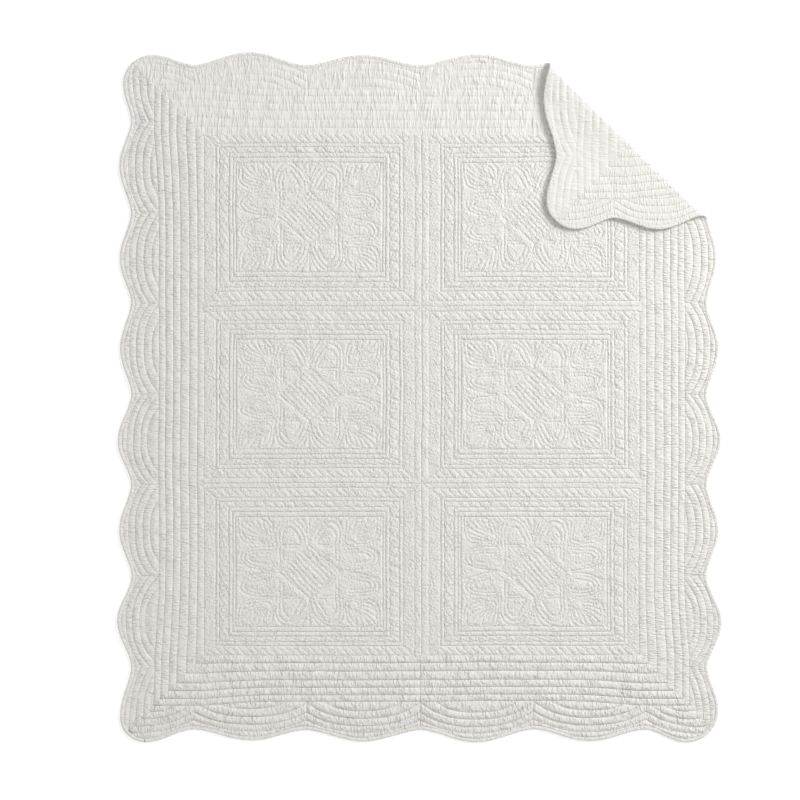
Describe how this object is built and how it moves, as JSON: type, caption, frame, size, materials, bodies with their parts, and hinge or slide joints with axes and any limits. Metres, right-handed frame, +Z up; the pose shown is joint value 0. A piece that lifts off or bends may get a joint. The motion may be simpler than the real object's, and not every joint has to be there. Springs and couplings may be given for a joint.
{
  "type": "matelasse throw",
  "caption": "White matelasse throw with a scalloped bound edge, lying flat with its top right corner turned over.",
  "frame": {"origin": "middle of the whole outline, on the surface the throw lies on", "axes": "+Z up out of the surface, +Y along the throw towards the end with the turned corner, +X across it"},
  "size_m": [1.5276, 1.7428, 0.0206],
  "materials": {
    "quilted_cotton": "matte",
    "binding_cotton": "matte"
  },
  "bodies": {
    "root": {"quilted_cloth": "quilted_cotton", "edge_binding": "binding_cotton"}
  },
  "joints": []
}
